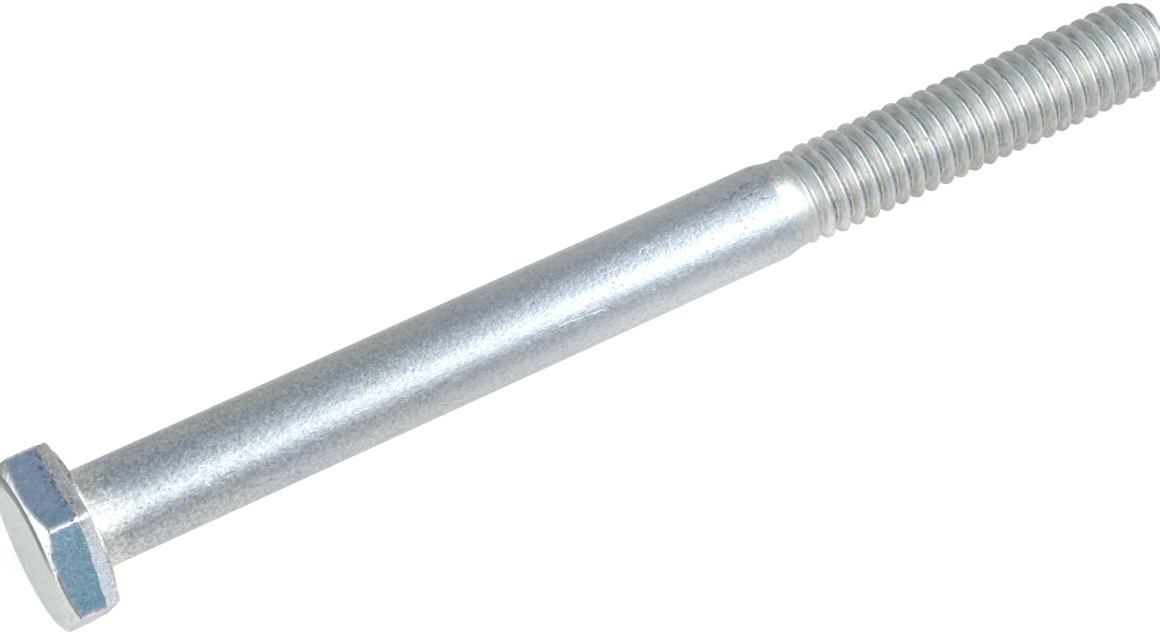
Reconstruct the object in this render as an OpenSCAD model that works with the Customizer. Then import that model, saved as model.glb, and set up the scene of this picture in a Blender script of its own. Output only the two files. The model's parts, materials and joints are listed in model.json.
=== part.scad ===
// Partly threaded hexagon-head bolt that clamps a filter cover.
// It lies on a table as it comes to rest: one flat of the head and the last threads touch.
// Sizes are in millimetres. The head's bearing face is where the bolt's length starts.

/* [Shank] */
// Length from the bearing face of the head to the tip
length = 97.4; // [60:0.1:160]
// Diameter of the plain shank
shank_d = 7.94; // [6.5:0.01:12]
// Radius of the fillet between the bearing face and the shank
fillet_r = 0.5; // [0.2:0.05:1]

/* [Head] */
// Width of the head across its flats
across_flats = 13.3; // [12:0.1:17]
// Height of the whole head, with the washer face
head_h = 4.5; // [4:0.1:8]
// Thickness of the round washer face under the head
washer_h = 0.4; // [0.2:0.05:0.8]
// Difference between the width across flats and the washer face's diameter
washer_step = 0.8; // [0.3:0.1:2]
// Difference between the width across flats and the end face's diameter
face_step = 0.7; // [0.2:0.1:2]
// Angle of the chamfer round the end face
chamfer_angle = 30; // [20:1:40]
// Radius that rounds the edge between the end face and the chamfer
face_edge_r = 0.6; // [0.2:0.1:1.2]
// How far the corners are sheared back at the bearing side
corner_cut = 0.25; // [0.1:0.05:0.6]
// Height over which the sheared corners run out
corner_cut_h = 0.9; // [0.4:0.1:1.5]
// How far the head was forged off the shank's axis
head_offset = 0.3; // [0:0.05:0.5]

/* [Thread] */
// Outer diameter of the thread
thread_d = 7.94; // [6.5:0.01:12]
// Number of threads in one inch
threads_per_inch = 18; // [14:1:24]
// Length of the thread, measured back from the tip
thread_length = 35; // [15:0.1:45]
// Length over which the first groove reaches its full depth
groove_run_out = 1; // [0.6:0.1:3]
// Length over which the crests rise out of the neck
crest_run_out = 2.4; // [1:0.1:4]
// Diameter of the neck that the thread is rolled on
neck_d = 7.3; // [6:0.05:11]
// Length of the plain neck before the thread
neck_length = 0.3; // [0.2:0.1:5]
// Length of the taper between the shank and the neck
taper_length = 1.5; // [0.8:0.1:6]
// Diameter of the flat end of the tip
tip_d = 6.4; // [4:0.1:9]
// Length of the taper at the tip
tip_taper = 1.9; // [0.8:0.1:4]
// Turn of the thread's start about the axis, in degrees
thread_start = 306; // [0:1:359]

/* [Hidden] */
$fn = 96;

// Length of an inch, which the pitch is counted in
INCH = 25.4;
// How far the thread's foot lies inside the neck's surface, and how far it stands out of its end
FOOT_STEP = 0.05;
// How deep the thread's foot reaches into the neck
FOOT_DEPTH = 0.15;
// Flat sides in one turn of the thread
SIDES = 36;

pitch = INCH / threads_per_inch;
// Basic 60 degree profile: an eighth of the pitch flat at the crest, a quarter at the root
thread_depth = 0.5413 * pitch;
PROFILE_PLACE = [-1 / 16, 1 / 16, 3 / 8, 5 / 8];
PROFILE_CREST = [true, true, false, false];
ROWS_PER_TURN = len(PROFILE_PLACE);

shank_r = shank_d / 2;
neck_r = neck_d / 2;
crest_r = thread_d / 2;
root_r = crest_r - thread_depth;
foot_r = neck_r - FOOT_STEP;
tip_r = tip_d / 2;
flat_r = across_flats / 2;
corner_r = flat_r / cos(30);
washer_r = flat_r - washer_step / 2;
face_r = flat_r - face_step / 2;

// Stations along the axis, from the bearing face
thread_from = length - thread_length;
neck_from = thread_from - neck_length;
taper_from = neck_from - taper_length;
tip_from = length - tip_taper;
foot_from = thread_from - FOOT_DEPTH;
foot_to = thread_from + FOOT_STEP;

// The bolt rests on a flat's edge at the bearing side and on the last full thread
lean = atan((flat_r - crest_r) / (tip_from + washer_h));
lift = flat_r * cos(lean) - washer_h * sin(lean);
back_x = head_h * cos(lean) + face_r * sin(lean);
front_x = length * cos(lean) + tip_r * sin(lean);
middle_x = (front_x - back_x) / 2;

// Turns of the thread's skin; what reaches past its foot or its tip is laid flat there
TURNS = ceil(thread_length / pitch + thread_start / 360) + 2;
TOP_ROW = TURNS * ROWS_PER_TURN - 1;
skin_from = length - (TURNS - 1 - thread_start / 360) * pitch;
// Length of skin that would be needed to reach an end face's middle
SPIRAL = 3 * pitch;

// Radius of the plain taper at the tip, which cuts the threads down
function tip_radius(z) = tip_r + (length - z) * (crest_r - tip_r) / tip_taper;

// How far the thread has grown out of the neck, from 0 to 1
function grown(z, run_out) = min(1, max(0, (z - thread_from) / run_out));

// Radius of the thread's skin: crests and roots grow out of the foot, and the tip's taper cuts them
function skin_radius(z, crest) =
    let(full = crest ? crest_r : root_r)
    let(share = grown(z, crest ? crest_run_out : groove_run_out))
    min(foot_r + (full - foot_r) * share, tip_radius(z));

// Place of a row along the axis, and half the way to the next row
function place(row) = (floor(row / ROWS_PER_TURN) + PROFILE_PLACE[row % ROWS_PER_TURN]) * pitch;
function half_step(row) = (place(row + 1) - place(row)) / 2;

// Radius and height of one skin point. In each column the row nearest an end makes its rim,
// and at the foot the row before it makes the rim inside the neck.
function skin_station(row, column) =
    let(z = skin_from + place(row) + column / SIDES * pitch)
    let(above = half_step(row))
    let(below = row > 0 ? half_step(row - 1) : 0)
    let(from = foot_to - z)
    let(to = length - z)
    from >= 2 * above + half_step(row + 1) ? [foot_r * (1 - from / SPIRAL), foot_from]
    : from >= above ? [foot_r, foot_from]
    : from >= -below ? [foot_r, foot_to]
    : to >= above ? [skin_radius(z, PROFILE_CREST[row % ROWS_PER_TURN]), z]
    : to >= -below ? [tip_r, length]
    : [tip_r * (1 + to / SPIRAL), length];

function skin_point(row, column) =
    let(station = skin_station(row, column))
    let(a = column * 360 / SIDES)
    [station[0] * cos(a), station[0] * sin(a), station[1]];

// Number of a skin point; the column after the last is the first one, a turn further on
function at(row, column) =
    column < SIDES ? row * SIDES + column : (row + ROWS_PER_TURN) * SIDES;

// Faces between a middle point and a row, and from one point of the row along a seam
function cap(middle, row, corner, seam) = concat(
    [for (column = [0:SIDES - 2]) [middle, at(row, column), at(row, column + 1)]],
    [for (i = [0:len(seam) - 2]) [corner, seam[i + 1], seam[i]]]
);

function turned_over(faces) = [for (face = faces) [face[0], face[2], face[1]]];

// The right-hand thread: one skin that winds round the axis and closes on both end faces
module thread() {
    first_middle = (TOP_ROW + 1) * SIDES;
    last_middle = first_middle + 1;
    points = [
        for (row = [0:TOP_ROW]) for (column = [0:SIDES - 1]) skin_point(row, column),
        [0, 0, foot_from],
        [0, 0, length]
    ];
    wall = [
        for (row = [0:TOP_ROW - 1]) for (column = [0:SIDES - 1])
            if (column < SIDES - 1 || row + 1 + ROWS_PER_TURN <= TOP_ROW)
                for (half = [0, 1])
                    half == 0
                        ? [at(row, column), at(row + 1, column), at(row, column + 1)]
                        : [at(row, column + 1), at(row + 1, column), at(row + 1, column + 1)]
    ];
    first_seam = [
        first_middle,
        for (row = [0:ROWS_PER_TURN]) at(row, 0)
    ];
    last_seam = [
        for (row = [TOP_ROW - ROWS_PER_TURN:TOP_ROW]) at(row, SIDES - 1),
        last_middle
    ];
    first_cap = cap(first_middle, 0, at(0, SIDES - 1), first_seam);
    last_cap = turned_over(cap(last_middle, TOP_ROW, at(TOP_ROW, 0), last_seam));
    polyhedron(points, concat(wall, first_cap, last_cap), convexity = 10);
}

// Washer face, fillet, shank, taper and neck, as one turned outline
module blank() {
    rotate_extrude()
        difference() {
            polygon([
                [0, -head_h / 2],
                [washer_r, -head_h / 2],
                [washer_r, 0],
                [shank_r + fillet_r, 0],
                [shank_r + fillet_r, fillet_r],
                [shank_r, fillet_r],
                [shank_r, taper_from],
                [neck_r, neck_from],
                [neck_r, thread_from],
                [0, thread_from]
            ]);
            translate([shank_r + fillet_r, fillet_r])
                circle(r = fillet_r);
        }
}

// Turned outline that the hexagon is cut by: end face, rounded edge, chamfer, sheared corners
module head_outline() {
    slope = tan(chamfer_angle);
    past = 0.4 * corner_cut;
    wide = corner_r + past;
    edge_reach = face_edge_r * tan(chamfer_angle / 2);
    edge_middle = [face_r - edge_reach, -head_h + face_edge_r];
    end_of_edge = edge_middle + face_edge_r * [sin(chamfer_angle), -cos(chamfer_angle)];
    polygon([
        [0, -head_h],
        [edge_middle[0], -head_h],
        edge_middle,
        end_of_edge,
        [wide, -head_h + (wide - face_r) * slope],
        [wide, -washer_h - corner_cut_h * (corner_cut + past) / corner_cut],
        [corner_r - corner_cut, -washer_h],
        [0, -washer_h]
    ]);
    intersection() {
        translate(edge_middle)
            circle(r = face_edge_r);
        translate([0, -head_h])
            square([end_of_edge[0], face_edge_r]);
    }
}

// Hexagon with its corners along Y, so that a flat can lie on the table
module head() {
    translate([0, -head_offset, 0])
        intersection() {
            translate([0, 0, -head_h])
                rotate([0, 0, 30])
                    cylinder(r = corner_r, h = head_h - washer_h, $fn = 6);
            rotate_extrude()
                head_outline();
        }
}

module bolt() {
    color("silver")
        translate([-middle_x, 0, lift])
            rotate([0, 90 + lean, 0]) {
                head();
                blank();
                thread();
            }
}

bolt();
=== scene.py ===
"""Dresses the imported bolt: one closed mesh with its rolled thread, zinc plating, floor, light and camera.

The bolt is worked out in millimetres along its own axis, from the bearing face of the head
(station 0) to the tip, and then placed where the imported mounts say. Angles run round the axis
from the bolt's side (+Y), by the right-hand rule.
"""

import json
import math

import bpy
import numpy as np
from mathutils import Matrix, Vector


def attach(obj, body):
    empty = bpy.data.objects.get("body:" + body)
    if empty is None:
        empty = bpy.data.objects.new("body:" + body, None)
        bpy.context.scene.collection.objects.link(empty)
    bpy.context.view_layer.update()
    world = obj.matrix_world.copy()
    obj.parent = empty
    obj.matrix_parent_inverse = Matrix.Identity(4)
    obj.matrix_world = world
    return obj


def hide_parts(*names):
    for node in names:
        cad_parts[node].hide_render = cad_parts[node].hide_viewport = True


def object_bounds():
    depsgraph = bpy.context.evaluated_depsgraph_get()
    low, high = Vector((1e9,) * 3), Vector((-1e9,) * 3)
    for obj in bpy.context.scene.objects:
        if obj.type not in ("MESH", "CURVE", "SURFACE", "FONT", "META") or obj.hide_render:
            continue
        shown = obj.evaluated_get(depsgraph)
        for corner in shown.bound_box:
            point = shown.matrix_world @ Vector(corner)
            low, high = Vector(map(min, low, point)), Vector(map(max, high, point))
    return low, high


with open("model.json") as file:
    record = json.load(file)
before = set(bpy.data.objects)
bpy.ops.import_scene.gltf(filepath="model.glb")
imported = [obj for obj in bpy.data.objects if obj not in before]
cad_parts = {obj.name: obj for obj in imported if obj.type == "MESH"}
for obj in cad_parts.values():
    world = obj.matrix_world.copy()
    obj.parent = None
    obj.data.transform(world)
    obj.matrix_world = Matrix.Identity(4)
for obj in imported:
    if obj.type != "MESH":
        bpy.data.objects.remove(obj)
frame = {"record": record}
packed_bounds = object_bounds()
mounts = {mount["name"]: mount for mount in frame["record"]["mounts"]}

# ---------------------------------------------------------------- driving sizes, in millimetres
MM = 0.001
INCH = 25.4
THREADS_PER_INCH = 18

LENGTH = 97.4
SHANK_R = mounts["shank"]["dims"]["r_mm"]
CREST_R = mounts["thread"]["dims"]["r_mm"]
THREAD_FROM = LENGTH - mounts["thread"]["dims"]["length_mm"]
PITCH = INCH / THREADS_PER_INCH
THREAD_DEPTH = 0.58 * PITCH
NECK_R = 3.65
NECK_FROM = THREAD_FROM - 0.3
TAPER_FROM = NECK_FROM - 1.5
TIP_R = 3.2
TIP_FROM = LENGTH - 1.9
# The taper's smooth fall begins and ends a little outside it
FALL_FROM, FALL_TO = TAPER_FROM - 0.3, NECK_FROM + 0.1
# How far the grooves and the crests take to grow out of the neck, and by which power
GROOVE_RUN_OUT = 1.0
CREST_RUN_OUT = 2.6
RUN_OUT_POWER = 0.8
# The crest that starts at angle 0 passes the tip's plane this share of a turn later
CREST_PHASE = 0.1

# One turn's profile: where the flank starts and ends, as shares of a turn from the crest, and how
# much of the depth the crest's and the root's roundings take, over which share of a turn
FLANK_FROM, FLANK_TO = 1 / 16, 0.39
ROUNDED = 0.06
ROUND_REACH = 0.08

FLAT_R = 6.65
CORNER_R = FLAT_R / math.cos(math.radians(30))
HEAD_H = 4.5
# The head's middle lies this far toward the bolt's side
HEAD_AT = -0.3
WASHER_H = 0.4
WASHER_R = FLAT_R - 0.4
FACE_R = FLAT_R - 0.35
FACE_EDGE_R = 0.6
CHAMFER = math.radians(30)
CORNER_CUT = 0.25
CORNER_CUT_H = 0.9
FILLET_R = 0.5

# ---------------------------------------------------------------- what plating and wear leave
# Radii of the small roundings of the head's corners and edges
CORNER_ROUND = 0.5
EDGE_ROUND = 0.14
# How far the underside's inner corner is rounded, outward and along
WASHER_FOOT = (0.05, 0.03)
# The violet border of each flat, and how strong it is along the corners, from this far on
RIM_WIDTH = 0.5
CORNER_RIM, CORNER_RIM_FROM = 0.7, 0.2
# How wide a corner is rubbed and given a painted highlight, over how much more it fades, and how much of
# both lies above every flat
RUBBED_AND_HIGHLIT, RUBBED_AND_HIGHLIT_FADE = 0.13, 0.22
RUBBED_AND_HIGHLIT_TOP = 0.4
# The sheared band at the bearing side of each flat: depth, height, how far its border swings in
# broad and in small waves, how wide its step is, and how rough it lies
BREAK_DEPTH = 0.08
BREAK_HEIGHT = 1.05
BREAK_SWINGS = (0.14, 0.06)
BREAK_STEP = 0.22
BREAK_ROUGH = 0.025
# Cream plating fades from the head over these stations, and starts again before the taper
CREAM_FADE = (0.4, 3.4)
CREAM_AGAIN = (TAPER_FROM - 0.2, TAPER_FROM + 0.5)
# How much of the cream plating and of the thread's own look the neck has
NECK_CREAM = 0.65
NECK_THREAD = 0.6
# How far the rolled crests wander in height, and the most they stand out
CREST_WANDER = 0.016
CREST_OVER = 0.008
# A notch in one crest: how deep, how wide, and where it is
NICK_DEPTH = 0.16
NICK_WIDTH = 0.22
NICK_AT = (73.9, math.radians(121))
# The tip's rubbed-down edge: where the thread's grid ends before it, then each ring's step in and back
TIP_GRID_END = 0.12
TIP_EDGE = ((0.06, 0.03), (0.2, 0))

# ---------------------------------------------------------------- the grid round the axis
# Columns lie closest near the hexagon's six corners: degrees from a corner to half a side
CORNER_STEPS = [0, 0.45, 0.9, 1.4, 2.2, 4, 6.5, 9.5, 12.5, 15.5, 18.5, 21.5, 24.5, 27.25]
SECTOR = CORNER_STEPS + [30] + [60 - step for step in reversed(CORNER_STEPS[1:])]
ANGLES = np.radians([60 * side + step for side in range(6) for step in SECTOR])
COLUMNS = len(ANGLES)
HALF_SIDE = math.pi / 6
FROM_CORNER = np.abs((ANGLES + HALF_SIDE) % (2 * HALF_SIDE) - HALF_SIDE)

# Rows of the thread's grid in one turn, closest at the crest's and the root's edges
ROWS = np.array([-0.5, -0.43, -0.39, -0.36, -0.23, -0.10, -0.07, -0.04])
ROWS = np.concatenate([ROWS, -ROWS[:0:-1]])
PER_TURN = len(ROWS)

# Rings of the flat faces, as shares of the way out or in, and how many each other stretch gets
FACE_SHARES = (0.12, 0.3, 0.5, 0.68, 0.82, 0.92)
CHAMFER_SHARES = (0.35, 0.7, 1.0)
UNDERSIDE_SHARES = (0.5, 0.9)
TIP_SHARES = (0.75, 0.5, 0.25)
EDGE_RINGS = 6
FILLET_RINGS = 7
FLAT_RINGS = 30
SHANK_RINGS = 58
NECK_RINGS = 22


def smooth(x):
    """Rises smoothly from 0 to 1 as x does."""
    x = np.clip(x, 0, 1)
    return x * x * (3 - 2 * x)


def rise(x, low, high):
    """Rises smoothly from 0 to 1 as x goes from low to high."""
    return smooth((x - low) / (high - low))


def wave(seed, x, y=0.0, octaves=4):
    """A seeded sum of sines, between about -1 and 1, for irregular borders and dents."""
    finer, fainter, height = 1.9, 0.62, 1.9
    rng = np.random.default_rng(seed)
    total = 0
    for octave in range(octaves):
        per_x, per_y = rng.uniform(0.7, 1.3, 2) * finer**octave
        total = total + np.sin(per_x * x + per_y * y + rng.uniform(0, 6.28)) * fainter**octave
    return total / height


def positions(radius, station, offset=0.0):
    """Local positions, as station, side and up in millimetres."""
    side = radius * np.cos(ANGLES) + offset
    return np.stack([station, side, radius * np.sin(ANGLES)], axis=-1)


class Skin:
    """Rings of vertices, each with its radius, station, centre offset and zone masks."""

    ZONES = ("flat", "rim", "worn", "broken", "face", "thread", "groove", "cream")

    def __init__(self):
        self.radius, self.station, self.offset = [], [], []
        self.zones = {zone: [] for zone in self.ZONES}

    def ring(self, radius, station, offset=0.0, **zones):
        ones = np.ones(COLUMNS)
        self.radius.append(radius * ones)
        self.station.append(station * ones)
        self.offset.append(offset * ones)
        for zone in self.ZONES:
            self.zones[zone].append(zones.get(zone, 0.0) * ones)

    def positions(self):
        return positions(np.array(self.radius), np.array(self.station), np.array(self.offset))

    def mask(self, zone):
        return np.array(self.zones[zone]).ravel()


# ---------------------------------------------------------------- head and shank
def hexagon_radius():
    """Radius of the hexagon with rounded corners, at each column."""
    corner_middle = (FLAT_R - CORNER_ROUND) / math.cos(HALF_SIDE)
    flat = FLAT_R / np.cos(HALF_SIDE - FROM_CORNER)
    inside = CORNER_ROUND**2 - (corner_middle * np.sin(FROM_CORNER)) ** 2
    arc = corner_middle * np.cos(FROM_CORNER) + np.sqrt(np.maximum(inside, 0))
    tangent = math.atan2(CORNER_ROUND / 2, corner_middle + CORNER_ROUND * math.cos(HALF_SIDE))
    return np.where(FROM_CORNER < tangent, arc, flat)


def end_face_rings(skin):
    """The head's flat end face and its rounded edge; gives the radius where the edge ends."""
    edge_middle = FACE_R - FACE_EDGE_R * math.tan(CHAMFER / 2)
    for share in FACE_SHARES:
        skin.ring(edge_middle * share, -HEAD_H, HEAD_AT, face=1)
    for turn in np.linspace(0, CHAMFER, EDGE_RINGS):
        radius = edge_middle + FACE_EDGE_R * math.sin(turn)
        skin.ring(radius, -HEAD_H + FACE_EDGE_R * (1 - math.cos(turn)), HEAD_AT, face=1)
    return radius


def chamfer_rings(skin, inner, hexagon):
    """The chamfer and the rounding above the flats; gives the station where the flats begin."""
    slope = math.tan(CHAMFER)
    for share in CHAMFER_SHARES:
        radius = inner + share * (hexagon - EDGE_ROUND - inner)
        skin.ring(radius, -HEAD_H + (radius - FACE_R) * slope, HEAD_AT, face=1)
    top = -HEAD_H + (hexagon - FACE_R) * slope
    # The rounding's rings: steps inward and along in shares of its radius, then the zones' shares
    for inward, along, face, rim, worn in ((0.45, -0.1, 0.8, 0.5, 0.4), (0.12, 0.35, 0.4, 1, 0.7)):
        zones = {"face": face, "flat": 1 - face, "rim": rim, "worn": worn}
        skin.ring(hexagon - inward * EDGE_ROUND, top + along * EDGE_ROUND, HEAD_AT, **zones)
    return top + EDGE_ROUND


def flat_rings(skin, first, hexagon):
    """The six flats with the sheared band at their bearing side; gives the last ring's radius."""
    last = -WASHER_H - EDGE_ROUND
    corner_away = CORNER_R * np.sin(FROM_CORNER)
    # Corners are rubbed and painted with a highlight, both fading away from the corner
    corner_worn = 1 - smooth((corner_away - RUBBED_AND_HIGHLIT) / RUBBED_AND_HIGHLIT_FADE)
    corner_rim = CORNER_RIM * (1 - smooth((corner_away - CORNER_RIM_FROM) / RIM_WIDTH))
    broad, small = BREAK_SWINGS
    border = BREAK_HEIGHT + broad * wave(3, ANGLES * 7) + small * wave(4, ANGLES * 31)
    top_worn = np.maximum(RUBBED_AND_HIGHLIT_TOP, corner_worn)
    skin.ring(hexagon, first, HEAD_AT, flat=1, rim=1, worn=top_worn)
    for share in np.linspace(0, 1, FLAT_RINGS)[1:]:
        station = first + share * (last - first)
        above = -WASHER_H - station
        cut = CORNER_R - CORNER_CUT + CORNER_CUT * above / CORNER_CUT_H
        broken = smooth((border - above) / BREAK_STEP + 0.5)
        rough = BREAK_ROUGH * wave(5, ANGLES * 60, station * 9) * broken
        radius = np.minimum(hexagon - BREAK_DEPTH * broken + rough, cut)
        rim = np.maximum(1 - smooth((station - first) / RIM_WIDTH), corner_rim)
        worn = corner_worn * smooth(0.75 + 0.5 * share)
        skin.ring(radius, station, HEAD_AT, flat=1, broken=broken, rim=rim, worn=worn)
    return radius


def underside_rings(skin, outer):
    """The head's underside, the washer face and the bearing face."""
    outer = outer - EDGE_ROUND
    foot_out, foot_along = WASHER_FOOT
    skin.ring(outer, -WASHER_H, HEAD_AT, flat=0.5, broken=1)
    for share in UNDERSIDE_SHARES:
        radius = (1 - share) * outer + share * (WASHER_R + foot_out)
        skin.ring(radius, -WASHER_H, HEAD_AT * (1 - share), cream=0.6)
    skin.ring(WASHER_R, -WASHER_H + foot_along, cream=0.6)
    skin.ring(WASHER_R, -EDGE_ROUND, cream=0.6)
    skin.ring(WASHER_R - 0.3 * EDGE_ROUND, -0.3 * EDGE_ROUND, cream=0.7)
    skin.ring(WASHER_R - EDGE_ROUND, 0, cream=0.8)
    skin.ring(0.5 * (WASHER_R + SHANK_R + FILLET_R), 0, cream=1)


def head_rings(skin):
    hexagon = hexagon_radius()
    edge_end = end_face_rings(skin)
    flats_from = chamfer_rings(skin, edge_end, hexagon)
    underside_rings(skin, flat_rings(skin, flats_from, hexagon))


def shank_rings(skin):
    """Fillet, plain shank, taper and neck, up to the ring where the thread's grid starts."""
    plain_to, grid_from = TAPER_FROM - 0.8, THREAD_FROM - 0.1
    for turn in np.linspace(0, math.pi / 2, FILLET_RINGS):
        radius = SHANK_R + FILLET_R * (1 - math.sin(turn))
        skin.ring(radius, FILLET_R * (1 - math.cos(turn)), cream=1)
    for station in np.linspace(FILLET_R, plain_to, SHANK_RINGS)[1:]:
        skin.ring(SHANK_R, station, cream=1 - rise(station, *CREAM_FADE))
    for station in np.linspace(plain_to, grid_from, NECK_RINGS)[1:]:
        fall = rise(station, FALL_FROM, FALL_TO)
        radius = SHANK_R + (NECK_R - SHANK_R) * fall
        cream = NECK_CREAM * rise(station, *CREAM_AGAIN)
        skin.ring(radius, station, thread=NECK_THREAD * fall, cream=cream)


def tip_rings(skin, edge):
    """The tip's rubbed-down edge and its flat end face, inward from the thread's radius there."""
    for inward, back in TIP_EDGE:
        skin.ring(edge - inward, LENGTH - back, thread=1)
    for share in TIP_SHARES:
        skin.ring(edge * share, LENGTH, thread=1)


# ---------------------------------------------------------------- thread
def thread_profile(turn):
    """Depth of the thread below its crest, as a share of the full depth, at a place in a turn."""
    turn = np.abs((turn + 0.5) % 1 - 0.5)
    flank = np.clip((turn - FLANK_FROM) / (FLANK_TO - FLANK_FROM), 0, 1)
    crest_round = ROUNDED * np.exp(-((turn / ROUND_REACH) ** 2))
    root_round = ROUNDED * np.exp(-(((0.5 - turn) / ROUND_REACH) ** 2))
    return (1 - 2 * ROUNDED) * flank + ROUNDED - crest_round + root_round


def thread_radius(station, turn):
    """Radius of the clean thread, growing out of the neck and cut down by the tip's cone."""
    full = CREST_R - THREAD_DEPTH * thread_profile(turn)
    run_out = np.where(full > NECK_R, CREST_RUN_OUT, GROOVE_RUN_OUT)
    grown = np.clip((station - THREAD_FROM) / run_out, 0, 1) ** RUN_OUT_POWER
    cone = TIP_R + (LENGTH - station) * (CREST_R - TIP_R) / (LENGTH - TIP_FROM)
    return np.minimum(NECK_R + (full - NECK_R) * grown, cone)


class ThreadGrid:
    """The thread's grid of vertices: each row follows the helix, climbing one pitch in a turn."""

    def __init__(self, start, end):
        """start and end: the stations between which the grid lies."""
        first_turn = math.floor((start - LENGTH) / PITCH - CREST_PHASE) - 1
        turns = math.ceil((end - start) / PITCH) + 3
        turn_of_row = np.concatenate([first_turn + turn + ROWS for turn in range(turns)])
        self.rows = len(turn_of_row)
        self.share_of_turn = ANGLES / (2 * math.pi)
        self.turn = np.repeat(turn_of_row[:, None], COLUMNS, axis=1)
        self.station = LENGTH + (CREST_PHASE + self.turn + self.share_of_turn) * PITCH

        # In each column the row nearest an end of the grid is moved onto it
        self.columns = np.arange(COLUMNS)
        self.start_row = np.abs(self.station - start).argmin(axis=0)
        self.end_row = np.abs(self.station - end).argmin(axis=0)
        self.station[self.start_row, self.columns] = start
        self.station[self.end_row, self.columns] = end
        self.depth = np.clip(thread_profile(self.turn), 0, 1)
        self.begun = smooth((self.station - THREAD_FROM) / CREST_RUN_OUT)
        self.radius = self.worn_radius()
        self.radius[self.start_row, self.columns] = NECK_R

    def worn_radius(self):
        """The thread's radius, with its crests' slight wander and the nick in one of them."""
        along_helix = 2 * math.pi * (np.floor(self.turn + 0.5) + self.share_of_turn)
        wander = CREST_WANDER * wave(11, 2.3 * along_helix, 3 * self.turn, 5) * self.begun
        nick_station, nick_angle = NICK_AT
        away = np.hypot(self.station - nick_station, (ANGLES - nick_angle) * CREST_R)
        nick = NICK_DEPTH * np.exp(-((away / NICK_WIDTH) ** 2))
        radius = thread_radius(self.station, self.turn) + wander - nick * (1 - self.depth)
        return np.minimum(radius, CREST_R + CREST_OVER)

    def positions(self):
        return positions(self.radius, self.station)

    def zones(self):
        """Zone masks by place in a turn: painted shade on the tip side of a crest, and a line of painted
        shade in each root.
        """
        within = self.turn - np.floor(self.turn + 0.5)
        after_root = rise(-within, 0.42, 0.48)
        shaded = np.where(within > 0, rise(within, 0.05, 0.09), after_root)
        root_shade = np.where(within > 0, rise(within, 0.32, 0.38), after_root)
        crest = 1 - rise(self.depth, 0.02, 0.16)
        return {
            "thread": NECK_THREAD + (1 - NECK_THREAD) * self.begun,
            "groove": (0.5 * shaded + 0.5 * root_shade) * self.begun,
            # Crests rubbed and painted with a highlight
            "worn": crest * self.begun,
            "cream": NECK_CREAM * (1 - self.begun),
        }

    def numbers(self, first, ring_before):
        """Vertex numbers, counted from first; the row on the start is the ring before the grid."""
        # Rows past an end fall together with the row on it
        kept = np.clip(np.arange(self.rows)[:, None], self.start_row, self.end_row)
        own = first + kept * COLUMNS + self.columns
        return np.where(kept == self.start_row, ring_before, own)


# ---------------------------------------------------------------- the whole skin
def strip(rows, rows_next):
    """Quads between neighbouring rows of vertex numbers; rows_next is the same one column on."""
    corners = [rows[:-1], rows_next[:-1], rows_next[1:], rows[1:]]
    return np.stack(corners, axis=-1).reshape(-1, 4)


def closed_strip(rows):
    return strip(rows, np.roll(rows, -1, axis=1))


def fan(pole, ring):
    """Triangles from a pole to each step of a ring."""
    return [[pole, int(here), int(after)] for here, after in zip(ring, np.roll(ring, -1))]


def without_doubles(quads):
    """Faces without doubled corners: a quad whose corners fall together is a triangle or nothing."""
    faces = []
    for quad in quads:
        corners = [int(v) for k, v in enumerate(quad) if v != quad[k - 1]]
        if len(set(corners)) == len(corners) and len(corners) > 2:
            faces.append(corners)
    return faces


def skin_faces(grid, head_count, grid_count, tip_count):
    """Faces of the rings, the helical grid and the tip; the two poles' numbers come last."""
    head = np.arange(head_count).reshape(-1, COLUMNS)
    helix = grid.numbers(head_count, head[-1])
    tip = head_count + grid_count + np.arange(tip_count).reshape(-1, COLUMNS)
    tip = np.concatenate([np.take_along_axis(helix, grid.end_row[None, :], axis=0), tip])
    # The column after the last is the first one, a turn further on
    seam = strip(helix[:-PER_TURN, -1], helix[PER_TURN:, 0])
    quads = [closed_strip(head), strip(helix[:, :-1], helix[:, 1:]), seam, closed_strip(tip)]
    face_pole = head_count + grid_count + tip_count
    faces = without_doubles(np.concatenate(quads))
    return faces + fan(face_pole, head[0][::-1]) + fan(face_pole + 1, tip[-1])


def bolt_skin():
    """The bolt's points, its zone masks at each point, and its faces."""
    body, tip = Skin(), Skin()
    head_rings(body)
    shank_rings(body)
    grid = ThreadGrid(body.station[-1][0], LENGTH - TIP_GRID_END)
    tip_rings(tip, grid.radius[grid.end_row[0], 0])

    parts = [part.positions().reshape(-1, 3) for part in (body, grid, tip)]
    poles = [[-HEAD_H, HEAD_AT, 0], [LENGTH, 0, 0]]
    masks = {}
    on_grid = grid.zones()
    for zone in Skin.ZONES:
        middle = on_grid.get(zone, np.zeros_like(grid.depth)).ravel()
        at_poles = [float(zone == "face"), float(zone == "thread")]
        masks[zone] = np.concatenate([body.mask(zone), middle, tip.mask(zone), at_poles])
    faces = skin_faces(grid, *[len(part) for part in parts])
    return np.concatenate([*parts, poles]), masks, faces


# The bolt's own axes and the middle of its bearing face, in the shared frame
axis = Vector(mounts["thread"]["axis"]).normalized()
side = Vector((0, 1, 0))
up = axis.cross(side)
bearing = Vector(mounts["thread"]["pos_m"]) - axis * LENGTH * MM


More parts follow.
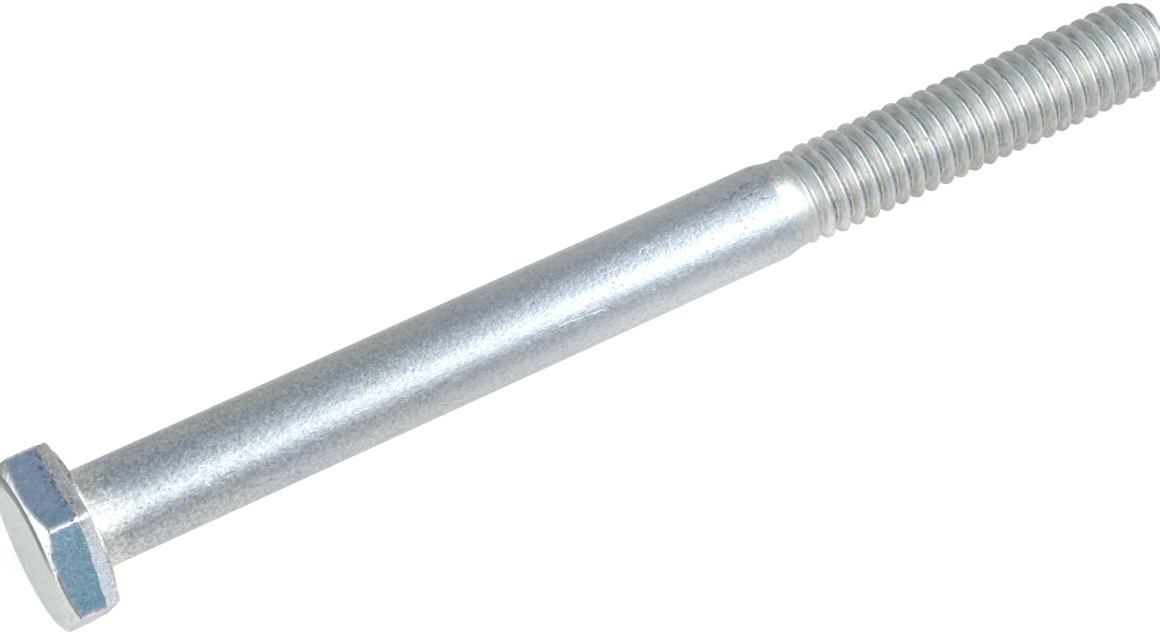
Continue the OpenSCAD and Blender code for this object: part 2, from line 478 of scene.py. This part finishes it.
def build_bolt():
    """The bolt's one object, placed in the shared frame, with its zone masks as attributes."""
    points, masks, faces = bolt_skin()
    used = np.unique(np.concatenate([np.array(face) for face in faces]))
    number = {int(old): new for new, old in enumerate(used)}
    faces = [[number[v] for v in face] for face in faces]
    points = points[used]
    placed = points @ np.array([axis, side, up]) * MM + np.array(bearing)

    mesh = bpy.data.meshes.new("bolt_dressed")
    mesh.from_pydata(placed.tolist(), [], faces)
    mesh.validate()
    mesh.polygons.foreach_set("use_smooth", [True] * len(mesh.polygons))
    for zone, mask in masks.items():
        attribute = mesh.attributes.new(zone, "FLOAT", "POINT")
        attribute.data.foreach_set("value", mask[used].astype(np.float32))
    local = mesh.attributes.new("along", "FLOAT_VECTOR", "POINT")
    local.data.foreach_set("vector", points.astype(np.float32).ravel())
    piece = bpy.data.objects.new("bolt_dressed", mesh)
    bpy.context.scene.collection.objects.link(piece)
    return piece


# ---------------------------------------------------------------- node materials
class Nodes:
    """Short calls for building the nodes of a material or a world."""

    def __init__(self, owner):
        owner.use_nodes = True
        self.tree = owner.node_tree
        self.tree.nodes.clear()

    def put(self, value, target):
        """Gives an input its value: a link from another node's output, or a plain value."""
        if isinstance(value, bpy.types.NodeSocket):
            self.tree.links.new(value, target)
        else:
            target.default_value = value

    def add(self, kind, inputs=None, **settings):
        node = self.tree.nodes.new("ShaderNode" + kind)
        for key, value in settings.items():
            setattr(node, key, value)
        for key, value in (inputs or {}).items():
            self.put(value, node.inputs[key])
        return node

    def math(self, operation, a, b=0.0):
        return self.add("Math", {0: a, 1: b}, operation=operation).outputs[0]

    def product(self, first, *others):
        for other in others:
            first = self.math("MULTIPLY", first, other)
        return first

    def plus(self, value, *shares):
        """The value plus each (mask, amount)'s product."""
        for mask, amount in shares:
            value = self.math("ADD", value, self.math("MULTIPLY", mask, amount))
        return value

    def vector(self, operation, a, b=(0, 0, 0)):
        node = self.add("VectorMath", {0: a}, operation=operation)
        self.put(b, node.inputs["Scale" if operation == "SCALE" else 1])
        single = operation in ("LENGTH", "DISTANCE", "DOT_PRODUCT")
        return node.outputs["Value" if single else "Vector"]

    def mix(self, share, a, b):
        """Colour a, with colour b over it by this share."""
        node = self.add("Mix", data_type="RGBA")
        sockets = {socket.identifier: socket for socket in node.inputs}
        for name, value in (("Factor_Float", share), ("A_Color", a), ("B_Color", b)):
            self.put(value, sockets[name])
        return next(socket for socket in node.outputs if socket.identifier == "Result_Color")

    def ramp(self, value, low, high, to_low=0.0, to_high=1.0):
        """Goes smoothly from to_low to to_high as the value goes from low to high."""
        inputs = {"Value": value, 1: low, 2: high, 3: to_low, 4: to_high}
        return self.add("MapRange", inputs, interpolation_type="SMOOTHSTEP").outputs[0]

    def between(self, value, rise, fall):
        """Rises to 1 over the pair rise, and falls back to 0 over the pair fall."""
        return self.product(self.ramp(value, *rise), self.ramp(value, *fall, 1, 0))

    def line(self, at, start, end, width):
        """1 on the line from start to end, falling to 0 at its width."""
        start, end = Vector((*start, 0)), Vector((*end, 0))
        reach = end - start
        from_start = self.vector("SUBTRACT", at, start)
        share = self.vector("DOT_PRODUCT", from_start, reach / reach.length_squared)
        share = self.add("Clamp", {"Value": share}).outputs[0]
        nearest = self.vector("ADD", self.vector("SCALE", reach, share), start)
        return self.ramp(self.vector("DISTANCE", at, nearest), 0.3 * width, width, 1, 0)


# ---------------------------------------------------------------- the plating's tints and marks
# Tints as they look on screen, 0 to 255
TINTS = {
    "cool zinc": (201, 204, 209),
    "warm zinc": (206, 207, 206),
    "blue zinc": (192, 200, 212),
    "pale zinc": (218, 221, 224),
    "upper flat": (180, 194, 216),
    "lower flat": (144, 184, 198),
    "flat patch": (166, 180, 206),
    "flat spot": (186, 206, 218),
    "hidden flat": (214, 215, 212),
    "flat rim": (180, 182, 198),
    "end face": (228, 231, 226),
    "end face patch": (220, 225, 221),
    "thread": (240, 241, 239),
    "yellow thread": (243, 240, 226),
    "pink thread": (247, 237, 235),
    "green thread": (214, 222, 222),
    # A painted shade on one side of the thread
    "painted thread shade": (142, 146, 148),
    # The next two are painted shade on the thread's hidden flanks and along its roots
    "groove": (140, 143, 147),
    "painted root shade": (104, 108, 114),
    "groove speck": (96, 100, 106),
    "cream": (226, 225, 219),
    # A painted highlight on the shank by the head
    "painted_highlight": (250, 248, 240),
    "upper break": (212, 208, 208),
    "lower break": (226, 228, 233),
    # Rubbed edges and crests, with a painted highlight over them
    "rubbed edge and highlight": (246, 247, 247),
    # The next two are painted reflections at the end face's edge: a dark one at a corner and a highlight on
    # the chamfer
    "painted dark corner reflection": (104, 108, 116),
    "painted chamfer highlight": (250, 250, 251),
    "flat outline": (96, 102, 108),
    # A painted dark reflection in a band along the end face's edge
    "painted dark band reflection": (80, 83, 96),
    "torn metal": (100, 102, 112),
    "pit": (118, 124, 134),
    "fleck": (236, 238, 240),
    "scratch": (244, 246, 248),
    "dark mark": (104, 108, 118),
}

# Noises: scale per millimetre, detail and roughness
NOISES = {
    "drift": (0.12, 2.0, 0.55),
    "patch": (0.9, 4.0, 0.6),
    "grain": (3.0, 3.0, 0.75),
    "fine grain": (9.0, 2.0, 0.6),
    "flat spot": (2.2, 2.0, 0.55),
    "ragged border": (1.7, 4.0, 0.7),
    "uneven rubbing and highlight": (1.5, 3.0, 0.6),
    "torn": (1.8, 4.0, 0.75),
    "sheared relief": (5.0, 4.0, 0.7),
    "coil": (1.0, 3.0, 0.6),
    "rolling": (1.0, 2.0, 0.6),
    "broken painted root shade": (2.6, 3.0, 0.65),
    "groove speck": (4.5, 2.0, 0.6),
    "pit cluster": (0.35, 2.0, 0.55),
    "pit": (3.6, 2.0, 0.6),
    "fleck": (6.0, 2.0, 0.6),
    "streak": (1.6, 2.0, 0.5),
    "broken mark": (5.0, 2.0, 0.6),
}

# Places round the axis, in degrees: the middle of the painted highlight on the shank by the head,
# and the middle of the painted shade on the thread
PAINTED_HIGHLIGHT_AT = 126
THREAD_SHADE_AT = 44
# From and to these angles the upper flat's tints turn to the lower flat's, and the hidden ones'
UPPER_TO_LOWER = (100, 140)
HIDDEN_TO_UPPER = (-15, 15)
# Painted reflections on the end face (a dark one at a corner, a dark one in a band along its edge, a
# highlight on the chamfer) and the head's torn metal: each rises over the first pair of angles and falls
# over the second
DARK_CORNER_REFLECTION = ((10, 50), (60, 80))
DARK_BAND_REFLECTION = ((25, 70), (128, 158))
CHAMFER_HIGHLIGHT = ((72, 98), (122, 130))
TORN = ((55, 75), (112, 125))
# From here on round the axis the lower flat has a dark outline, and its edge is neither rubbed nor painted
# with a highlight
FLAT_OUTLINE = (126, 142)
NOT_RUBBED_OR_HIGHLIT = (124, 134)

# Marks on the shank, as (station in millimetres, angle in degrees) from and to, and width:
# bright scratches
SCRATCHES = (
    ((9.2, 136), (9.4, 145), 0.11),
    ((15.5, 149), (15.6, 158), 0.09),
    ((15.6, 102), (15.9, 108), 0.09),
    ((39.6, 144.5), (43.4, 148.2), 0.07),
    ((48.4, 104), (49.2, 106), 0.10),
    ((27.0, 119), (28.4, 122), 0.07),
)
# Dark marks: pits, and a thin chain of them near the head
DARK_MARKS = (
    ((44.5, 107), (44.8, 108), 0.20),
    ((38.3, 109), (38.7, 109.5), 0.17),
    ((7.1, 76), (7.0, 88), 0.08),
    ((7.0, 88), (6.6, 98), 0.10),
    ((58.8, 107), (59.6, 110), 0.12),
    ((56.4, 93), (57.6, 86), 0.26),
    ((57.5, 99), (58.5, 97), 0.20),
    ((58.1, 85), (59.1, 81), 0.20),
)
# Millimetres of the shank's skin in a degree
PER_DEGREE = SHANK_R * math.pi / 180


def tint(name):
    """A tint in Blender's linear values."""
    linear = [((c / 255 + 0.055) / 1.055) ** 2.4 if c > 10 else c / 3294 for c in TINTS[name]]
    return (*linear, 1.0)


class Plating(Nodes):
    """The bolt's zinc plating: places, masks, layers of colour, roughness and relief."""

    def __init__(self, material):
        super().__init__(material)
        self.place = self.add("Attribute", attribute_name="along").outputs["Vector"]
        self.zone = {}
        for zone in Skin.ZONES:
            self.zone[zone] = self.add("Attribute", attribute_name=zone).outputs["Fac"]
        self.find_places()
        self.find_noises()
        self.find_zones()
        self.find_marks()

    # Masks
    def find_places(self):
        """Where a point lies: its station, angle and ways out from the bolt's and head's middles."""
        self.station, side_at, up_at = self.add("SeparateXYZ", {"Vector": self.place}).outputs
        self.angle = self.math("MULTIPLY", self.math("ARCTAN2", up_at, side_at), 180 / math.pi)
        across = self.add("CombineXYZ", {1: side_at, 2: up_at}).outputs[0]
        self.outward = self.vector("NORMALIZE", across)
        self.head_radius = self.vector("LENGTH", self.vector("SUBTRACT", across, (0, HEAD_AT, 0)))
        # Not on the tip's end face, where a pattern by angle would run together in a star
        self.off_axis = self.ramp(self.vector("LENGTH", across), 3.0, 3.2)

    def find_noises(self):
        """Patches and grain, the angle swung by the patches, and a place that follows the thread."""
        self.patch = self.noise("patch")
        self.grain = self.noise("grain")
        self.fine = self.noise("fine grain")
        self.turned = self.math("ADD", self.angle, self.ramp(self.patch, 0.3, 0.7, -25, 25))
        along, around = self.math("MULTIPLY", self.station, 2.4), self.math("MULTIPLY", self.angle, 0.012)
        self.coiled = self.add("CombineXYZ", {0: along, 1: around}).outputs[0]

    def find_zones(self):
        """The zones with their borders frayed by noise, and what is made up of several zones."""
        zone, grain = self.zone, self.grain
        self.on_head = self.math("MAXIMUM", zone["flat"], zone["face"])
        self.cream = self.frayed(zone["cream"], self.ramp(grain, 0.3, 0.7, -0.3, 0.3), 0.25)
        ragged = self.ramp(self.noise("ragged border"), 0.32, 0.68, -0.42, 0.42)
        ragged = self.product(ragged, self.ramp(self.angle, 100, 125, 1, 0.5))
        self.broken = self.frayed(zone["broken"], ragged, 0.2)
        # Edges and crests rubbed and painted with a highlight, unevenly, but not at the lower flat's side
        # of the end face
        not_rubbed_or_highlit = self.product(zone["face"], self.ramp(self.angle, *NOT_RUBBED_OR_HIGHLIT))
        uneven = self.ramp(self.noise("uneven rubbing and highlight"), 0.38, 0.48, 0.2, 1)
        self.worn = self.product(zone["worn"], uneven, self.less(not_rubbed_or_highlit))
        # Painted highlight: the shank just by the head is painted paler on the side that faces the light
        by_head = self.ramp(self.station, 1.2, 4.5, 1, 0)
        self.painted_highlight = self.product(by_head, self.less(self.on_head), self.facing(PAINTED_HIGHLIGHT_AT, 0.84, 0.98))

    def find_marks(self):
        """Pits in clusters, streaks drawn out along the bolt, and the single marks on the shank."""
        cluster = self.ramp(self.noise("pit cluster"), 0.42, 0.62)
        pit = self.ramp(self.noise("pit"), 0.60, 0.68)
        less_on_thread = self.less(self.zone["thread"], 0.75)
        self.pit = self.product(pit, self.ramp(cluster, 0, 1, 0.35, 1), less_on_thread)

        drawn_out = self.add("Mapping", {"Vector": self.place, "Scale": (0.16, 3.4, 3.4)}).outputs[0]
        on_shank = self.less(self.math("MAXIMUM", self.zone["thread"], self.on_head))
        self.streak = self.product(self.ramp(self.noise("streak", drawn_out), 0.61, 0.68), on_shank)

        broken_up = self.noise("broken mark")
        unrolled = self.unrolled_skin()
        scratch = self.any_line(unrolled, SCRATCHES)
        self.scratch = self.product(scratch, self.ramp(broken_up, 0.38, 0.48, 0.3, 1))
        dark = self.any_line(unrolled, DARK_MARKS)
        self.dark = self.product(dark, self.ramp(broken_up, 0.46, 0.54, 0.1, 1))

    def unrolled_skin(self):
        """The place on the shank's skin, unrolled flat in millimetres, with a slight wobble."""
        around = self.math("MULTIPLY", self.angle, PER_DEGREE)
        flat_place = self.add("CombineXYZ", {0: self.station, 1: around}).outputs[0]
        inputs = {"Vector": self.place, "Scale": 2.5, "Detail": 2.0}
        wobble = self.add("TexNoise", inputs).outputs["Color"]
        wobble = self.vector("SCALE", self.vector("SUBTRACT", wobble, (0.5, 0.5, 0.5)), 0.25)
        return self.vector("MULTIPLY", self.vector("ADD", flat_place, wobble), (1, 1, 0))

    def any_line(self, at, lines):
        """The highest of the lines' masks."""
        highest = 0.0
        for (from_station, from_angle), (to_station, to_angle), width in lines:
            start = (from_station, from_angle * PER_DEGREE)
            end = (to_station, to_angle * PER_DEGREE)
            highest = self.math("MAXIMUM", highest, self.line(at, start, end, width))
        return highest

    def noise(self, name, place=None):
        """One of NOISES, by the place on the bolt unless another place is given."""
        place = self.place if place is None else place
        scale, detail, rough = NOISES[name]
        inputs = {"Vector": place, "Scale": scale, "Detail": detail, "Roughness": rough}
        return self.add("TexNoise", inputs).outputs["Fac"]

    def less(self, mask, share=1.0):
        """1, less this share of the mask."""
        return self.math("SUBTRACT", 1.0, self.math("MULTIPLY", mask, share))

    def frayed(self, mask, swing, soft):
        """A zone's mask with its border swung about by a noise, and softened this much each way."""
        return self.ramp(self.math("ADD", mask, swing), 0.5 - soft, 0.5 + soft)

    def facing(self, angle, low, high):
        """How much a point faces this angle round the axis, from and to these cosines."""
        way = (0, math.cos(math.radians(angle)), math.sin(math.radians(angle)))
        return self.ramp(self.vector("DOT_PRODUCT", self.outward, way), low, high)

    # Layers of colour, each laid over the base
    def over(self, base, mask, name, share=1.0):
        """The base with a tint over it where the mask says, by up to this share."""
        return self.mix(self.math("MULTIPLY", mask, share), base, tint(name))

    def plain_zinc(self):
        """Pale zinc that drifts broadly in tint, with bluer patches, and paler by the thread."""
        drift = self.ramp(self.noise("drift"), 0.4, 0.62)
        base = self.mix(drift, tint("cool zinc"), tint("warm zinc"))
        base = self.over(base, self.ramp(self.patch, 0.42, 0.7), "blue zinc", 0.4)
        return self.over(base, self.ramp(self.station, 26, 52), "pale zinc", 0.85)

    def flats(self, base):
        """Each flat of the head has its own tint of blue, with a violet border."""
        lower = self.ramp(self.turned, *UPPER_TO_LOWER)
        spots = self.ramp(self.noise("flat spot"), 0.55, 0.68)
        rim = self.frayed(self.zone["rim"], self.ramp(self.grain, 0.3, 0.7, -0.25, 0.25), 0.15)
        flat = self.mix(lower, tint("upper flat"), tint("lower flat"))
        flat = self.over(flat, self.ramp(self.patch, 0.46, 0.62), "flat patch", 0.7)
        flat = self.over(flat, spots, "flat spot", 0.5)
        flat = self.over(flat, self.ramp(self.turned, *HIDDEN_TO_UPPER, 1, 0), "hidden flat", 0.85)
        flat = self.over(flat, rim, "flat rim", 0.8)
        return self.mix(self.zone["flat"], base, flat)

    def end_face(self, base):
        face = self.mix(self.ramp(self.patch, 0.4, 0.7), tint("end face"), tint("end face patch"))
        return self.mix(self.zone["face"], base, face)

    def rolled_thread(self, base):
        """The thread is pale, with tints drawn out along its turns, and a painted shade on one side."""
        middle = 0.49
        from_middle = self.math("SUBTRACT", self.noise("coil", self.coiled), middle)
        coil = self.plus(middle, (from_middle, self.off_axis))
        patched = self.ramp(self.patch, 0.42, 0.62)
        thread = self.mix(patched, tint("thread"), tint("yellow thread"))
        thread = self.over(thread, self.ramp(coil, 0.52, 0.62), "pink thread", 0.8)
        thread = self.over(thread, self.ramp(coil, 0.36, 0.47, 1, 0), "green thread", 0.85)
        base = self.mix(self.zone["thread"], base, thread)
        # Painted shade: the thread is painted darker on its side round this angle
        painted_shade = self.product(self.zone["thread"], self.facing(THREAD_SHADE_AT, 0.80, 0.97), self.off_axis)
        return self.over(base, painted_shade, "painted thread shade", 0.36)

    def grooves(self, base):
        """Painted shade darkens the flank on the tip side and the root, with a broken dark line of painted
        shade along each root; and specks.
        """
        groove = self.zone["groove"]
        root = self.ramp(groove, 0.55, 0.9)
        broken_line = self.ramp(self.noise("broken painted root shade"), 0.38, 0.60, 0.12, 0.55)
        speck = self.ramp(self.noise("groove speck"), 0.54, 0.62)
        speck = self.product(speck, self.ramp(groove, 0.2, 0.5))
        # Painted shade on the hidden flanks and along the roots
        base = self.over(base, groove, "groove", 0.22)
        base = self.over(base, self.product(root, broken_line), "painted root shade")
        return self.over(base, speck, "groove speck", 0.5)

    def cream_plating_and_highlight(self, base):
        """Cream plating at the washer face and the neck, with a painted highlight by the head on the side
        in the light.
        """
        return self.over(self.over(base, self.cream, "cream"), self.painted_highlight, "painted_highlight", 0.8)

    def sheared_band(self, base):
        lower = self.ramp(self.turned, *UPPER_TO_LOWER)
        return self.mix(self.broken, base, self.mix(lower, tint("upper break"), tint("lower break")))

    def rubbed_edges_and_highlights(self, base):
        """Edges and crests rubbed bright, with a painted highlight over the same places, not everywhere
        alike.
        """
        return self.over(base, self.worn, "rubbed edge and highlight", 0.9)

    def end_face_edge(self, base):
        """Painted reflections at the face's edge: a dark one at a corner, a highlight on the chamfer and a
        dark one in a band along the edge; and the lower flat's outline.
        """
        face, radius = self.zone["face"], self.head_radius
        face_turn = self.math("ADD", self.angle, self.ramp(self.patch, 0.3, 0.7, -6, 6))
        near_edge = self.ramp(radius, FACE_R - 0.7, FACE_R - 0.2)
        on_chamfer = self.ramp(radius, FACE_R + 0.05, FACE_R + 0.2)
        on_edge = self.between(radius, (FACE_R - 1.5, FACE_R - 0.9), (FACE_R + 0.02, FACE_R + 0.18))
        # Painted reflections: a dark one at a corner of the face's edge, a highlight on the chamfer, and a
        # dark one in a band along the edge
        corner = self.product(face, near_edge, self.between(face_turn, *DARK_CORNER_REFLECTION))
        bright = self.product(face, on_chamfer, self.between(self.turned, *CHAMFER_HIGHLIGHT))
        # Both zones share the rounding above a flat, so their product is highest on it
        outline = self.product(face, self.zone["flat"], 4.0, self.ramp(self.turned, *FLAT_OUTLINE))
        band = self.product(face, on_edge, self.between(face_turn, *DARK_BAND_REFLECTION))
        base = self.over(base, corner, "painted dark corner reflection", 0.75)
        base = self.over(base, bright, "painted chamfer highlight")
        base = self.over(base, outline, "flat outline", 0.75)
        return self.over(base, band, "painted dark band reflection", 0.85)

    def torn_flat(self, base):
        """Dark specks where the break in the upper flat begins."""
        from_break = self.math("ADD", self.station, WASHER_H + BREAK_HEIGHT + 0.1)
        near_break = self.ramp(self.math("ABSOLUTE", from_break), 0.2, 1.1, 1, 0)
        short = self.vector("MULTIPLY", self.place, (2.0, 1.0, 1.0))
        speck = self.ramp(self.noise("torn", short), 0.51, 0.58)
        torn = self.product(self.zone["flat"], near_break, self.between(self.turned, *TORN), speck)
        return self.over(base, torn, "torn metal", 0.62)

    def small_marks(self, base):
        """Dark pits and bright flecks all over, and the single marks on the shank."""
        fleck = self.ramp(self.noise("fleck"), 0.66, 0.72)
        base = self.over(base, self.pit, "pit", 0.42)
        base = self.over(base, fleck, "fleck", 0.6)
        base = self.over(base, self.scratch, "scratch", 0.8)
        return self.over(base, self.dark, "dark mark", 0.6)

    # What goes into the shader
    def shade(self):
        """Light and dark of the grain, coarser by the head, and of the rolling along the thread."""
        thread = self.zone["thread"]
        grain = self.ramp(self.grain, 0.28, 0.72, 0.84, 1.13)
        fine = self.ramp(self.fine, 0.3, 0.7, 0.93, 1.06)
        swing = self.math("SUBTRACT", self.math("MULTIPLY", grain, fine), 1.0)
        by_head = self.ramp(self.station, 2, 40, 1.8, 1.0)
        coarser = self.product(by_head, self.less(thread, 0.5), self.less(self.on_head, 0.5))
        along = self.vector("MULTIPLY", self.coiled, (3.4, 2.2, 1))
        rolled = self.ramp(self.noise("rolling", along), 0.34, 0.66, -0.13, 0.11)
        return self.plus(1.0, (swing, coarser), (rolled, self.product(thread, self.off_axis)))

    def colour(self):
        base = self.plain_zinc()
        for layer in (
            self.flats,
            self.end_face,
            self.rolled_thread,
            self.grooves,
            self.cream_plating_and_highlight,
            self.sheared_band,
            self.rubbed_edges_and_highlights,
            self.end_face_edge,
            self.torn_flat,
            self.small_marks,
        ):
            base = layer(base)
        return self.vector("SCALE", base, self.shade())

    def roughness(self):
        return self.plus(
            self.ramp(self.grain, 0.3, 0.7, 0.34, 0.42),
            (self.painted_highlight, 0.08),
            (self.zone["thread"], 0.08),
            (self.worn, -0.18),
            (self.broken, 0.14),
            (self.cream, 0.06),
            (self.streak, -0.06),
        )

    def relief(self):
        """Grain stands out; pits, streaks and marks lie deeper; the sheared band is rougher."""
        marked = self.math("ADD", self.scratch, self.dark)
        rough = self.product(self.noise("sheared relief"), self.broken)
        height = self.plus(
            self.math("MULTIPLY", self.grain, 0.9),
            (self.fine, 0.3),
            (self.pit, -0.4),
            (self.streak, -0.12),
            (marked, -0.4),
            (rough, 1.8),
        )
        inputs = {"Strength": 0.7, "Distance": 0.00006, "Height": height}
        return self.add("Bump", inputs).outputs[0]


def zinc_plating():
    material = bpy.data.materials.new("zinc_plating")
    n = Plating(material)
    inputs = {
        "Base Color": n.colour(),
        "Metallic": 1.0,
        "Roughness": n.roughness(),
        "Specular Tint": (0.95, 0.93, 0.92, 1),
        "Normal": n.relief(),
    }
    shader = n.add("BsdfPrincipled", inputs)
    n.add("OutputMaterial", {"Surface": shader.outputs[0]})
    return material


bolt = build_bolt()
bolt.data.materials.append(zinc_plating())
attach(bolt, "root")
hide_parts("bolt")

# ---------------------------------------------------------------- camera
IMAGE_WIDTH, IMAGE_HEIGHT = 1160, 638
FOCAL_PX = 3938.3
# The shank's width and the bearing face's middle in the photograph
SHANK_WIDTH_PX = 105.44
BEARING_PX = (81.16, 523.13)
# The tip leans away from the camera, the bolt climbs to the right, and it is rolled about its axis
LEAN_AWAY = math.radians(17.374)
CLIMB = math.radians(24.469)
ROLL = math.radians(34.65)
SENSOR_WIDTH_MM = 36
NEAREST_SEEN = 0.01


def camera_turn():
    """The camera's rotation: the bolt's own axes, laid on the axes that the photograph shows."""
    level, away = math.cos(LEAN_AWAY), math.sin(LEAN_AWAY)
    along = Vector((level * math.cos(CLIMB), level * math.sin(CLIMB), -away))
    near = (Vector((0, 0, 1)) + away * along) / level
    across = near.cross(along)
    seen_up = math.sin(ROLL) * across + math.cos(ROLL) * near
    seen_side = math.cos(ROLL) * across - math.sin(ROLL) * near
    seen = Matrix((along, seen_side, seen_up)).transposed()
    own = Matrix((axis, side, up)).transposed()
    return (seen @ own.transposed()).transposed()


def place_camera():
    """The camera that sees the bolt at the photograph's angle, size and place."""
    turn = camera_turn()
    distance = FOCAL_PX * 2 * SHANK_R * MM / SHANK_WIDTH_PX
    right = (BEARING_PX[0] - IMAGE_WIDTH / 2) / FOCAL_PX * distance
    above = (IMAGE_HEIGHT / 2 - BEARING_PX[1]) / FOCAL_PX * distance
    place = bearing - turn @ Vector((right, above, -distance))
    data = bpy.data.cameras.new("camera")
    data.sensor_width = SENSOR_WIDTH_MM
    data.lens = SENSOR_WIDTH_MM * FOCAL_PX / IMAGE_WIDTH
    data.clip_start = NEAREST_SEEN
    camera = bpy.data.objects.new("camera", data)
    camera.matrix_world = Matrix.Translation(place) @ turn.to_4x4()
    bpy.context.scene.collection.objects.link(camera)
    bpy.context.scene.camera = camera


# ---------------------------------------------------------------- floor and light, in metres
FLOOR_REACH = 3.0
FLOOR_BELOW = 0.00002
PAPER = (0.50, 0.49, 0.48, 1)
GLOW_TINT = (1, 0.995, 0.975, 1)
# The glow that the camera sees makes the floor white
FLOOR_GLOW = 0.73
# In the metal the floor's glow is another, and fades away from the bolt, in front and behind
MIRRORED_GLOW = 0.53
FADE_FRONT = (0.004, 0.036)
FADE_BEHIND = (0.004, 0.075)
# Under the thread it is weaker, from and to these places along X; left of the head it is a bright patch
THREAD_GLOW = 0.35
THREAD_SIDE = (0.012, 0.024)
LEFT_SIDE = (0.058, 0.075)
LEFT_REACH = (0.08, 0.16)

# The room's light in front and behind, and over which share of the way back it changes
ROOM_FRONT = (0.42, 0.50, 0.57, 1)
ROOM_BEHIND = (0.57, 0.58, 0.56, 1)
ROOM_CHANGE = (0.5, 0.95)
# A brighter part overhead and a dim one: direction, from and to these cosines, and strength
ROOM_PARTS = (
    ((0.33, -0.45, 0.83), 0.70, 1.0, 1.4),
    ((0.75, 0.35, 0.55), 0.80, 0.97, 0.25),
)

# Each lamp: direction from the bolt, distance, length along X, height, and radiance
LAMPS = {
    "key": ((0.24, -0.74, 0.64), 0.54, 1.30, 0.28, 1.5),
    "side": ((0.75, -0.19, 0.64), 0.50, 0.15, 0.44, 4.6),
    "card": ((-0.98, 0.12, 0.06), 0.40, 0.20, 0.08, 1.6),
}


def mirrored_glow(n, path):
    """How strongly the floor glows where the metal mirrors it, by the place on the floor."""
    place = n.add("SeparateXYZ", {"Vector": n.add("NewGeometry").outputs["Position"]})
    x, y = place.outputs["X"], place.outputs["Y"]
    behind = n.ramp(y, *FADE_BEHIND, MIRRORED_GLOW, 0)
    front = n.ramp(n.math("MULTIPLY", y, -1.0), *FADE_FRONT, 1, 0)
    under_thread = n.ramp(x, *THREAD_SIDE, 1, THREAD_GLOW)
    left = n.ramp(n.math("MULTIPLY", x, -1.0), *LEFT_SIDE)
    left = n.math("MULTIPLY", left, n.ramp(n.math("ABSOLUTE", y), *LEFT_REACH, 1, 0))
    mirrored = n.math("MAXIMUM", path["Is Glossy Ray"], path["Is Transmission Ray"])
    return n.math("MULTIPLY", mirrored, n.math("MAXIMUM", n.product(behind, front, under_thread), left))


def floor_white():
    """White paper that takes the bolt's shadow, with a glow of its own for the camera and the metal."""
    material = bpy.data.materials.new("floor_white")
    n = Nodes(material)
    path = n.add("LightPath").outputs
    seen = n.math("MAXIMUM", n.math("MULTIPLY", path["Is Camera Ray"], FLOOR_GLOW), mirrored_glow(n, path))
    paper = n.add("BsdfDiffuse", {"Color": PAPER})
    glow = n.add("Emission", {"Color": GLOW_TINT, "Strength": seen})
    both = n.add("AddShader", {0: paper.outputs[0], 1: glow.outputs[0]})
    n.add("OutputMaterial", {"Surface": both.outputs[0]})
    return material


def floor():
    reach, low = FLOOR_REACH, packed_bounds[0][2] - FLOOR_BELOW
    corners = [(-reach, -reach, low), (reach, -reach, low), (reach, reach, low), (-reach, reach, low)]
    mesh = bpy.data.meshes.new("floor")
    mesh.from_pydata(corners, [], [(0, 1, 2, 3)])
    mesh.materials.append(floor_white())
    plane = bpy.data.objects.new("floor", mesh)
    bpy.context.scene.collection.objects.link(plane)


def lamp(name, direction, distance, length, height, radiance):
    """A soft rectangle that faces the bolt's middle, with its length as near to X as that allows."""
    data = bpy.data.lights.new(name, "AREA")
    data.shape = "RECTANGLE"
    data.size, data.size_y = length, height
    data.energy = radiance * math.pi * length * height
    light = bpy.data.objects.new(name, data)
    toward = Vector(direction).normalized()
    level = Vector((1, 0, 0)) if abs(toward.x) < 0.9 else Vector((0, 1, 0))
    level = (level - toward * level.dot(toward)).normalized()
    turn = Matrix((level, toward.cross(level), toward)).transposed()
    light.matrix_world = Matrix.Translation(toward * distance) @ turn.to_4x4()
    bpy.context.scene.collection.objects.link(light)


def studio():
    """A pale room for the metal to reflect; the camera sees it as plain white."""
    world = bpy.data.worlds.new("studio")
    bpy.context.scene.world = world
    n = Nodes(world)
    way = n.add("TexCoord").outputs["Generated"]
    back = n.add("SeparateXYZ", {"Vector": way}).outputs["Y"]
    room = n.mix(n.ramp(back, *ROOM_CHANGE), ROOM_FRONT, ROOM_BEHIND)
    for direction, low, high, strength in ROOM_PARTS:
        facing = n.vector("DOT_PRODUCT", way, Vector(direction).normalized())
        room = n.vector("SCALE", room, n.ramp(facing, low, high, 1.0, strength))
    room = n.mix(n.add("LightPath").outputs["Is Camera Ray"], room, (1, 1, 1, 1))
    light = n.add("Background", {"Color": room, "Strength": 1.0})
    n.add("OutputWorld", {"Surface": light.outputs[0]})


place_camera()
floor()
studio()
for name, values in LAMPS.items():
    lamp(name, *values)

bpy.context.scene.view_settings.view_transform = "Standard"

bpy.context.view_layer.update()
